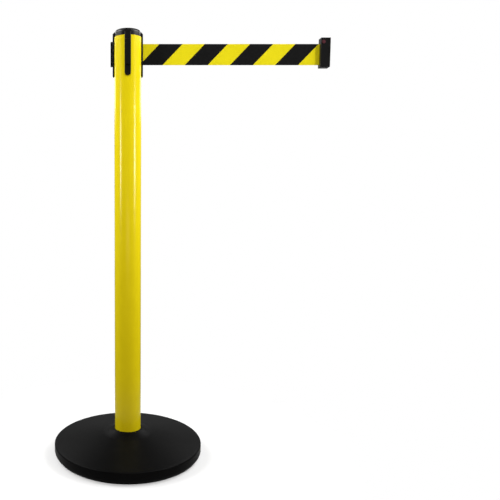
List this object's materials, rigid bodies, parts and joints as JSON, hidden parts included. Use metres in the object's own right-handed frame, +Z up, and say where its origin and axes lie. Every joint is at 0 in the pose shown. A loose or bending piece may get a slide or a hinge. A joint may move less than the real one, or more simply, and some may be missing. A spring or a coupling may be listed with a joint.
{
  "type": "retractable belt stanchion",
  "caption": "Queue post on a weighted round base, with a spring-wound belt pulled out of its head to an end clip, and rails that take other posts' clips.",
  "frame": {"origin": "on the floor at the post's axis", "axes": "+Z up along the post, +X the way the belt leaves the head"},
  "size_m": [0.6488, 0.36, 1.016],
  "materials": {
    "rubber": "matte",
    "cast_iron": "as cast",
    "cover_black": "fine-grained black",
    "post_yellow": "gloss yellow powder coat",
    "head_black": "fine-grained black",
    "steel": "zinc plated",
    "spring_steel": "blued spring steel",
    "bronze": "sintered bronze",
    "nylon": "natural nylon",
    "webbing": "woven webbing, yellow with black diagonal stripes",
    "button_red": "dark red"
  },
  "bodies": {
    "post": {"floor_ring": "rubber", "base_weight": "cast_iron", "base_cover": "cover_black", "base_bolt": "steel", "base_lock_washer": "steel", "base_washer": "steel", "tube_foot": "steel", "post_tube": "post_yellow", "head_body": "head_black", "head_screw": "steel", "receiver_front": "head_black", "receiver_back": "head_black", "receiver_left": "head_black", "exit_guide": "head_black", "head_cap": "head_black", "cap_screws": "steel", "cassette_floor": "steel", "cassette_roof": "steel", "cassette_pillars": "steel", "guide_pins": "steel", "spindle": "steel", "spindle_nut": "steel", "thrust_washers": "nylon", "spring_cup": "steel", "spring_lid": "steel", "power_spring": "spring_steel"},
    "spool": {"spool": "nylon", "spool_bushes": "bronze", "belt_roll": "webbing"},
    "belt_end": {"belt_run": "webbing", "belt_pin": "steel", "clip_front": "head_black", "clip_back": "head_black", "clip_screws": "steel", "button_spring": "spring_steel"},
    "lock_button": {"lock_button": "button_red"}
  },
  "joints": [
    {"name": "belt_pull", "type": "slide", "parent": "post", "child": "belt_end", "axis": [1, 0, 0], "range_m": [-0.41, 1.59], "stiffness_N_per_m": 2, "springref_m": -3, "deforming": ["belt_run"]},
    {"name": "spool_spin", "type": "hinge", "parent": "post", "child": "spool", "pos_m": [0, 0, 0.9615], "axis": [0, 0, 1], "range_deg": [-1650, 6300], "deforming": ["power_spring"]},
    {"name": "lock_press", "type": "slide", "parent": "belt_end", "child": "lock_button", "axis": [0, 1, 0], "range_m": [0, 0.0012], "stiffness_N_per_m": 400, "springref_m": -0.001, "deforming": ["button_spring"]}
  ],
  "couplings": [
    {"joint": "spool_spin", "follows": "belt_pull", "rad_per_m": 68}
  ]
}
